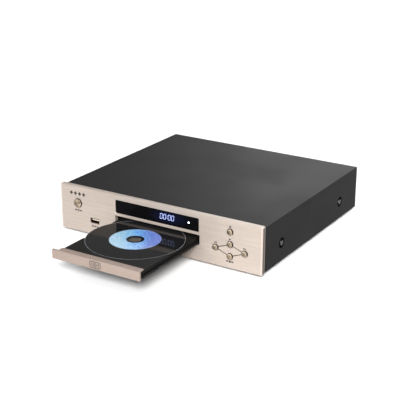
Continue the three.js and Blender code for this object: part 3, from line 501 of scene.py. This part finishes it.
def control(name, body, wall):
    """Button with a stem, a flange behind the panel, a straight wall, a rolled rim and a shallow crown,
    in place of its CAD node."""
    low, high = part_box(name)
    x, z = (low.x + high.x) / 2, (low.z + high.z) / 2
    back = (FRONT_Y - high.y) / MM
    flange = (high.x - low.x) / 2 / MM
    radius = flange - BUTTON_FLANGE
    stem = [(0, back), (STEM_RADIUS, back), (STEM_RADIUS, FLANGE_BACK)]
    skirt = [(flange, FLANGE_BACK), (flange, FLANGE_FRONT), (radius, FLANGE_FRONT)]
    rim = [
        (radius - RIM_ROLL * (1 - math.cos(a)), wall + RIM_ROLL * math.sin(a))
        for a in (math.radians(t) for t in (0, 22.5, 45, 67.5))
    ]
    crown = [(r, wall + RIM_ROLL + h) for r, h in dome(radius - RIM_ROLL, CROWN_RISE, 10)]
    mesh = bmesh.new()
    turn(mesh, stem + skirt + rim + crown, 64)
    place = facing((0, -1, 0), Vector((x, FRONT_Y, z)))
    finished(name + "_cap", mesh, FINISHES["bronze_button"], body, [name], place)


control("power_button", "power_key", 1.2)
for key in ("eject", "play", "stop", "previous", "next"):
    control(key + "_button", key + "_key", 1.25)


# ---- Screws, sockets and feet -----------------------------------------------------------------------

# Painted shade: a near-black lining without gloss for the cups round the cover screws.
PAINTED_SEAT_SHADE = Finish("screw_seat", (0.003, 0.003, 0.0032), 0.6, IOR=1.02)
PAINTED_SEAT_SHADE.link(PAINTED_SEAT_SHADE.remap(PAINTED_SEAT_SHADE.noise(1500, 3), 0.54, 0.66), "Roughness")
PAINTED_SEAT_SHADE.relief(PAINTED_SEAT_SHADE.noise(1500, 3), 0.01)

HEAD_TOP = 0.62
SCREW_STEPS = 48
# The crossed recess: how far an arm reaches, half its width, and the reach between the arms.
ARM_REACH = 1.75
ARM_HALF = 0.34
CORE_REACH = 0.62
RECESS_LEVELS = ((1.0, 0.64), (1.0, 0.58), (0.8, -0.5))


def recess_outline():
    """The crossed recess as (reach in mm, angle) pairs."""
    outline = []
    for i in range(SCREW_STEPS):
        angle = 2 * math.pi * i / SCREW_STEPS
        across = min(abs(math.cos(angle)), abs(math.sin(angle)))
        reach = min(ARM_REACH, ARM_HALF / max(across, 0.05))
        outline.append((CORE_REACH if across > 0.6 else reach, angle))
    return outline


def cross_head_screw(name, side):
    """Pan-head screw with a crossed recess, in a pressed cup in the cover, lined near-black and without gloss
    as painted shade, a little wider than the cover's own cup.
    """
    low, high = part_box(name)
    y, z = (low.y + high.y) / 2, (low.z + high.z) / 2
    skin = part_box("top_cover")[1].x * side
    place = facing((side, 0, 0), Vector((skin, y, z)))
    head = bmesh.new()
    turn(head, [
        (0, -8), (1.4, -8), (1.4, -0.9), (3.4, -0.9), (3.4, -0.35), (3.3, -0.02), (3.08, 0.26), (2.75, 0.46),
        (2.35, 0.57), (1.9, HEAD_TOP),
    ], SCREW_STEPS)
    previous = [v for v in head.verts if abs(v.co.z - HEAD_TOP * MM) < 1e-7]
    for factor, height in RECESS_LEVELS:
        level = []
        for reach, angle in recess_outline():
            radius = reach * factor * MM
            level.append(head.verts.new((radius * math.cos(angle), radius * math.sin(angle), height * MM)))
        for i in range(SCREW_STEPS):
            j = (i + 1) % SCREW_STEPS
            head.faces.new([previous[i], previous[j], level[j], level[i]])
        previous = level
    head.faces.new(previous)
    finished(name + "_head", head, FINISHES["screw_steel"], "chassis", [name], place)
    # The cup lining is painted shade, wider than the cover's own cup.
    cup = bmesh.new()
    turn(cup, [
        (6.8, 0.0), (6.6, 0.08), (5.6, 0.09), (5.25, -0.05), (4.1, -1.1), (3.6, -1.16), (3.6, -1.19),
        (4.14, -1.14), (5.4, -0.02), (6.8, -0.02),
    ], SCREW_STEPS, closed=True)
    finished(name.replace("screw", "shade_cup"), cup, PAINTED_SEAT_SHADE, "chassis", (), place)


for end in ("front", "rear"):
    cross_head_screw(f"left_{end}_cover_screw", -1)
    cross_head_screw(f"right_{end}_cover_screw", 1)

for name in [n for n in NODES if n.endswith("_foot")]:
    low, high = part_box(name)
    foot = bmesh.new()
    turn(foot, [
        (0, 0.5), (3.5, 0.5), (3.9, 0), (8.9, 0), (9.5, 0.25), (9.9, 0.8), (10, 1.6), (9.9, 3.3), (9.6, 3.7),
        (0, 3.7),
    ], 56)
    place = Matrix.Translation(Vector(((low.x + high.x) / 2, (low.y + high.y) / 2, low.z)))
    finished(name + "_pad", foot, FINISHES["foot_rubber"], "chassis", [name], place)

GOLD_CONTACT = turned("gold_contact", (0.83, 0.6, 0.24), 0.2)


def phono_socket(name, slot):
    """Phono jack: gold barrel with rounded lips, and a coloured insulator round its centre hole."""
    low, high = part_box(name)
    centre = Vector(((low.x + high.x) / 2, REAR_Y, (low.z + high.z) / 2))
    place = facing((0, 1, 0), centre)
    barrel = bmesh.new()
    turn(barrel, [
        (2.1, -4), (2.1, -6), (4.4, -6), (4.4, 0.4), (4.4, 8.4), (4.2, 8.9), (3.9, 9.0), (3.7, 8.8),
        (3.6, 8.4), (3.6, -3), (2.1, -3.4),
    ], 48, closed=True)
    finished(name + "_barrel", barrel, GOLD_CONTACT, "chassis", [name], place)
    insulator = bmesh.new()
    insulation = [(1.6, -2.8), (3.55, -2.8), (3.55, 7.6), (3.4, 7.8), (1.8, 7.8), (1.6, 7.6)]
    turn(insulator, insulation, 48, closed=True)
    finished(name + "_insulator", insulator, FINISHES[slot], "chassis", (), place)
    collar = bmesh.new()
    rounded = [(4.45, 0.05), (6.4, 0.05), (6.4, 0.7), (6.1, 1.0), (4.8, 1.0), (4.45, 0.8)]
    turn(collar, rounded, 48, closed=True)
    finished(name + "_collar", collar, FINISHES[slot], "chassis", (), place)


phono_socket("left_audio_socket", "socket_white")
phono_socket("right_audio_socket", "socket_red")
phono_socket("coaxial_socket", "socket_orange")


# ---- Disc -------------------------------------------------------------------------------------------

disc_low, disc_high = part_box("compact_disc")
DISC_PLACE = Matrix.Translation(Vector((
    (disc_low.x + disc_high.x) / 2, (disc_low.y + disc_high.y) / 2, disc_low.z,
)))


def disc_body():
    mesh = bmesh.new()
    turn(mesh, [
        (7.5, 0.12), (7.6, 0.0), (7.7, 0.0), (59.75, 0.0), (59.85, 0.0), (59.97, 0.12), (60.0, 0.3),
        (60.0, 0.9), (59.9, 1.12), (59.7, 1.2), (59.6, 1.2), (17.5, 1.2), (17.4, 1.2), (17.2, 1.12),
        (16.9, 1.12), (16.7, 1.2), (16.6, 1.2), (7.7, 1.2), (7.6, 1.2), (7.5, 1.08),
    ], 192, closed=True)
    finished("disc_body", mesh, FINISHES["disc_black"], "disc", ["compact_disc"], DISC_PLACE)


def disc_label():
    """Printed centre label: pale blue to violet across its width, with soft swirls."""
    finish = Finish("disc_label", (0.4, 0.6, 0.8), 0.28, Coat_Weight=0.4, Coat_Roughness=0.08)
    parts = finish.node("ShaderNodeSeparateXYZ", {"Vector": finish.place}).outputs
    across = finish.math("MULTIPLY", parts["X"], 13.0)
    along = finish.math("MULTIPLY", parts["Y"], 8.0)
    swirl = finish.noise(70, 4, (1, 1.6, 1), 2.4)
    slope = finish.math("ADD", finish.math("ADD", across, along), finish.math("MULTIPLY", swirl, 0.55))
    place = finish.remap(slope, 0.0, 1.0, -0.35, 0.9)
    stops = [
        (0.0, linear(146, 186, 206)), (0.3, linear(138, 184, 212)), (0.52, linear(96, 162, 222)),
        (0.72, linear(88, 114, 194)), (1.0, linear(116, 128, 206)),
    ]
    wash = finish.ramp(place, stops)
    streaks = finish.noise(160, 5, (1, 2.5, 1), 3.0)
    # The label is painted paler towards its front edge: a painted sheen.
    front = finish.remap(parts["Y"], 0.2, 0.0, -0.028, -0.004)
    light = finish.math("ADD", finish.remap(streaks, 0.0, 0.45, 0.52, 0.72), front)
    finish.link(finish.mix(light, wash, (0.72, 0.82, 0.92)), "Base Color")
    finish.link(finish.remap(streaks, 0.22, 0.34), "Roughness")
    finish.relief(finish.noise(900, 2), 0.003)
    mesh = bmesh.new()
    turn(mesh, [(10.9, 1.205), (30.7, 1.205), (30.7, 1.24), (10.9, 1.24)], 160, closed=True)
    finished("disc_centre_label", mesh, finish, "disc", (), DISC_PLACE)


def disc_rims():
    """Thin pale rings near the disc's edge and round its label, painted as painted highlights of the clear
    polycarbonate catching light.
    """
    edge = polished("disc_rim_highlight", (0.2, 0.2, 0.21), 0.08, IOR=1.4)
    mesh = bmesh.new()
    for inner, outer, segments in ((59.0, 59.45, 192), (30.85, 31.1, 160)):
        turn(mesh, [(inner, 1.205), (outer, 1.205), (outer, 1.225), (inner, 1.225)], segments, closed=True)
    finished("disc_rim_lines", mesh, edge, "disc", (), DISC_PLACE)


disc_body()
disc_label()
disc_rims()


# ---- Display ----------------------------------------------------------------------------------------

DIGIT_SEGMENTS = {"0": "abcdef"}
DIGIT_WIDTH = 3.5
DIGIT_HEIGHT = 7.0
DIGIT_STROKE = 0.44
DIGIT_GAP = 1.35
DIGIT_SLANT = 0.1
DIGIT_THICKNESS = 0.05
SEGMENT_GAP = 0.12
COLON_DOT = 0.8
COLON_HEIGHTS = (2.0, 4.6)
COLON_STEP = 1.9
WINDOW_FACE = 0.5


def segment_outline(letter):
    """Outline in mm of one display segment, with the digit's lower left corner at 0, 0."""
    half = DIGIT_STROKE / 2
    left, right = half, DIGIT_WIDTH - half
    low, middle, high = half, DIGIT_HEIGHT / 2, DIGIT_HEIGHT - half
    ends = {
        "a": ((left, high), (right, high)), "d": ((left, low), (right, low)),
        "b": ((right, middle), (right, high)), "c": ((right, low), (right, middle)),
        "e": ((left, low), (left, middle)), "f": ((left, middle), (left, high)),
    }
    start, end = (Vector(point) for point in ends[letter])
    along = (end - start).normalized()
    aside = Vector((-along.y, along.x))
    start, end = start + along * SEGMENT_GAP, end - along * SEGMENT_GAP
    right_slope, left_slope = (along - aside) * half, (along + aside) * half
    points = [start, start + right_slope, end - left_slope, end, end - right_slope, start + left_slope]
    return [(point.x + DIGIT_SLANT * point.y, point.y) for point in points]


def glow_finish(name, colour, strength):
    finish = Finish(name, colour, 0.3)
    flicker = finish.noise(700, 2)
    finish.link(finish.ramp(flicker, [(0.2, shade(colour, 0.9)), (0.8, colour)]), "Emission Color")
    finish.shader.inputs["Emission Strength"].default_value = strength
    return finish


def on_panel(x, z, proud_mm, y=0.0):
    """Place of a flat mark: its own X runs right, its own Y up, and it stands proud of depth y."""
    turned_up = Matrix(((1, 0, 0), (0, 0, -1), (0, 1, 0))).to_4x4()
    return Matrix.Translation(at(x, y - proud_mm, z)) @ turned_up


def display_digits(text):
    mesh = bmesh.new()
    x = 0.0
    for letter in text:
        if letter == ":":
            for y in COLON_HEIGHTS:
                square = bar(0.1, 0.1 + COLON_DOT, y, y + COLON_DOT)
                prism(mesh, [(px + x + DIGIT_SLANT * y, py) for px, py in square], DIGIT_THICKNESS)
            x += COLON_STEP
            continue
        for segment in DIGIT_SEGMENTS[letter]:
            prism(mesh, [(px + x, py) for px, py in segment_outline(segment)], DIGIT_THICKNESS)
        x += DIGIT_WIDTH + DIGIT_GAP
    glow = glow_finish("display_glow", (0.46, 0.54, 0.98), 0.9)
    place = on_panel(5.2, 46.2, 0.06, WINDOW_FACE)
    finished("display_digits", mesh, glow, "chassis", (), place)


display_digits("00:00")

dot = bmesh.new()
turn(dot, [(0, 0.0), (1.15, 0.0), (1.15, 0.06), (0.95, 0.12), (0, 0.16)], 40)
finished(
    "status_dot", dot, glow_finish("status_glow", (0.85, 0.95, 1.0), 3.0), "chassis", (),
    facing((0, -1, 0), at(46.4, WINDOW_FACE - 0.01, 49.1)),
)


# ---- Printed marks ----------------------------------------------------------------------------------

INK = moulded("printed_ink", (0.006, 0.005, 0.0045), 0.55, 3000, 0.002)
DOOR_INK = moulded("door_mark_ink", (0.03, 0.022, 0.018), 0.42, 3000, 0.002)
MARK_DEPTH = 0.04


def mark(name, outlines, x, z, y=0.0, body="chassis", finish=INK):
    mesh = bmesh.new()
    for outline in outlines:
        prism(mesh, outline, MARK_DEPTH)
    finished(name, mesh, finish, body, (), on_panel(x, z, 0.01, y))


def triangle(x, y, size, towards):
    """Triangle with its middle at x, y, pointing left, right or up."""
    half = size / 2
    if towards == "up":
        return [(x - half, y - half * 0.8), (x + half, y - half * 0.8), (x, y + half * 0.8)]
    tip = half if towards == "right" else -half
    return [(x + tip, y), (x - tip, y + half), (x - tip, y - half)]


mark("eject_mark", [triangle(0, 0.6, 2.6, "up"), bar(-1.3, 1.3, -1.4, -0.75)], 103.5, 56.3)
mark("play_mark", [triangle(0, 0, 2.8, "right")], 103.5, 40.4)
mark("previous_mark", [triangle(x, 0, 2.1, "left") for x in (-0.9, 0.9)], 83.8, 32.6)
mark("next_mark", [triangle(x, 0, 2.1, "right") for x in (-0.9, 0.9)], 123.2, 32.6)
mark(
    "stop_mark",
    [bar(-1.25, 1.25, -1.25, 1.25), bar(-5.0, -2.0, -0.8, 0.8), bar(2.0, 5.0, -0.8, 0.8)],
    103.4, 12.3,
)
mark(
    "power_mark",
    [
        arc_band(0.9, 1.7, 130, 410, 24), bar(-0.45, 0.45, 0.2, 2.0),
        bar(-5.4, -2.4, -0.85, 0.85), bar(2.4, 5.4, -0.85, 0.85),
    ],
    -119.0, 31.9,
)
mark(
    "usb_mark",
    [
        bar(-4.9, -1.2, -1.2, -0.4), bar(-4.9, -1.2, 0.4, 1.2), bar(-4.9, -4.1, -0.4, 0.4),
        bar(-1.2, 0.6, -0.5, 0.5), triangle(1.5, 0, 2.4, "right"), bar(3.0, 5.2, -0.8, 0.8),
    ],
    -93.6, 14.9,
)


def diamond(x, half):
    return [(x + half, 0), (x, half), (x - half, 0), (x, -half)]


mark("corner_marks", [diamond(6.5 * i, 2.6) for i in range(4)], -129.3, 54.0)

LINE_PAINT = moulded("line_paint", (0.07, 0.052, 0.034), 0.45, 3000, 0.002)
LINE_CLEARANCE = 4.15
LINE_HALF_WIDTH = 0.6


def key_lines():
    """Bronze paint that fills the four engraved lines that join the play, previous, stop and next buttons."""
    keys = []
    for key in ("play", "previous", "stop", "next"):
        low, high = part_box(key + "_button")
        keys.append(Vector(((low.x + high.x) / 2 / MM, (low.z + high.z) / 2 / MM)))
    mesh = bmesh.new()
    for this, following in zip(keys, keys[1:] + keys[:1]):
        along = (following - this).normalized()
        aside = Vector((-along.y, along.x)) * LINE_HALF_WIDTH
        start, end = this + along * LINE_CLEARANCE, following - along * LINE_CLEARANCE
        corners = (start + aside, start - aside, end - aside, end + aside)
        prism(mesh, [tuple(corner) for corner in corners], MARK_DEPTH)
    finished("key_lines", mesh, LINE_PAINT, "chassis", (), on_panel(0, 0, 0.0))


key_lines()

DOOR_FRONT = (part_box("tray_door")[0].y - FRONT_Y) / MM


def rounded_frame(width, height, corner, stroke):
    """Outlines of a thin frame with rounded corners."""
    w, h = width / 2, height / 2
    inner = corner - stroke
    parts = [
        bar(-w + corner, w - corner, h - stroke, h), bar(-w + corner, w - corner, -h, -h + stroke),
        bar(-w, -w + stroke, -h + corner, h - corner), bar(w - stroke, w, -h + corner, h - corner),
    ]
    corners = [
        (w - corner, h - corner, 0), (-w + corner, h - corner, 90),
        (-w + corner, -h + corner, 180), (w - corner, -h + corner, 270),
    ]
    parts += [arc_band(inner, corner, start, start + 90, 6, (cx, cy)) for cx, cy, start in corners]
    return parts


def full_ring(inner, outer, steps):
    """Outlines of a ring, in three equal pieces."""
    return [arc_band(inner, outer, start, start + 120, steps) for start in (0, 120, 240)]


mark(
    "door_mark",
    rounded_frame(15.4, 8.2, 1.8, 0.85) + full_ring(1.8, 2.6, 12) + full_ring(0.3, 1.0, 8)
    + [bar(x, x + 0.6, -2.3, 2.3) for x in (-5.6, -4.4, 3.8, 5.0)],
    0.5, 29.9, DOOR_FRONT, "tray", DOOR_INK,
)


# ---- Floor, light and camera ------------------------------------------------------------------------


def floor():
    mesh = bmesh.new()
    bmesh.ops.create_grid(mesh, x_segments=8, y_segments=8, size=30)
    data = bpy.data.meshes.new("floor")
    mesh.to_mesh(data)
    mesh.free()
    finish = Finish("floor", (0.93, 0.93, 0.93), 0.6, Specular_IOR_Level=0.1)
    stops = [(0.3, (0.92, 0.92, 0.92)), (0.7, (0.94, 0.94, 0.94))]
    finish.link(finish.ramp(finish.noise(3, 2), stops), "Base Color")
    data.materials.append(finish.material)
    made = bpy.data.objects.new("floor", data)
    bpy.context.scene.collection.objects.link(made)


def sun(name, towards, strength, spread_degrees):
    """Broad soft key light, the same all over the floor."""
    light = bpy.data.lights.new(name, "SUN")
    light.energy = strength
    light.angle = math.radians(spread_degrees)
    made = bpy.data.objects.new(name, light)
    made.rotation_euler = Vector(towards).to_track_quat("Z", "Y").to_euler()
    bpy.context.scene.collection.objects.link(made)


def sheen(name, place, target, width, height, power):
    """Rectangular lamp aimed at a target. It shows in glossy surfaces only, and casts no shadow."""
    light = bpy.data.lights.new(name, "AREA")
    light.shape = "RECTANGLE"
    light.size, light.size_y = width, height
    light.energy = power
    made = bpy.data.objects.new(name, light)
    made.location = place
    made.rotation_euler = (Vector(target) - Vector(place)).to_track_quat("-Z", "Y").to_euler()
    made.visible_camera = False
    made.visible_diffuse = False
    bpy.context.scene.collection.objects.link(made)


def studio_air():
    """World light: dim all round and a little brighter above, with a pale backdrop seen past the floor."""
    world = bpy.data.worlds.new("studio")
    world.use_nodes = True
    tree = world.node_tree
    parts = tree.nodes.new("ShaderNodeSeparateXYZ")
    tree.links.new(tree.nodes.new("ShaderNodeTexCoord").outputs["Generated"], parts.inputs["Vector"])
    air = tree.nodes.new("ShaderNodeValToRGB")
    air.color_ramp.interpolation = "EASE"
    for element, (height, grey) in zip(air.color_ramp.elements, [(0.44, 0.3), (0.8, 0.55)]):
        element.position = height
        element.color = (grey, grey, grey, 1)
    tree.links.new(parts.outputs["Z"], air.inputs["Fac"])
    backdrop = tree.nodes.new("ShaderNodeMix")
    backdrop.data_type = "RGBA"
    seen = tree.nodes.new("ShaderNodeLightPath").outputs["Is Camera Ray"]
    tree.links.new(seen, backdrop.inputs["Factor"])
    tree.links.new(air.outputs["Color"], backdrop.inputs[6])
    backdrop.inputs[7].default_value = (1.0, 1.0, 1.0, 1)
    tree.links.new(backdrop.outputs[2], tree.nodes["Background"].inputs["Color"])
    bpy.context.scene.world = world


# Place in metres, angles in degrees, lens and sensor in millimetres.
CAMERA_PLACE = Vector((0.6506, -1.0288, 0.4950))
CAMERA_AZIMUTH = 31.71
CAMERA_ELEVATION = 20.30
CAMERA_ROLL = 0.12
CAMERA_LENS = 92.07
SENSOR_WIDTH = 36


def camera():
    azimuth, elevation, roll = map(math.radians, (CAMERA_AZIMUTH, CAMERA_ELEVATION, CAMERA_ROLL))
    right = Vector((math.cos(azimuth), math.sin(azimuth), 0))
    outward = Vector((math.sin(azimuth), -math.cos(azimuth), 0))
    back = outward * math.cos(elevation) + Vector((0, 0, math.sin(elevation)))
    up = back.cross(right)
    rolled_right = right * math.cos(roll) + up * math.sin(roll)
    rolled_up = up * math.cos(roll) - right * math.sin(roll)
    data = bpy.data.cameras.new("camera")
    data.sensor_width = SENSOR_WIDTH
    data.lens = CAMERA_LENS
    data.clip_start, data.clip_end = 0.05, 100
    made = bpy.data.objects.new("camera", data)
    turned_to = Matrix((rolled_right, rolled_up, back)).transposed().to_4x4()
    made.matrix_world = Matrix.Translation(CAMERA_PLACE) @ turned_to
    bpy.context.scene.collection.objects.link(made)
    bpy.context.scene.camera = made


floor()
sun("key", (0.40, -0.70, 0.53), 5.2, 22)
sheen("rear_sheen", (-0.36, 1.7, 0.86), (0.05, 0.0, 0.06), 1.1, 0.9, 19)
sheen("front_sheen", (-0.30, -1.5, 0.8), (0.08, -0.1, 0.03), 0.3, 1.3, 42)
studio_air()
camera()
bpy.context.scene.view_settings.view_transform = "Standard"
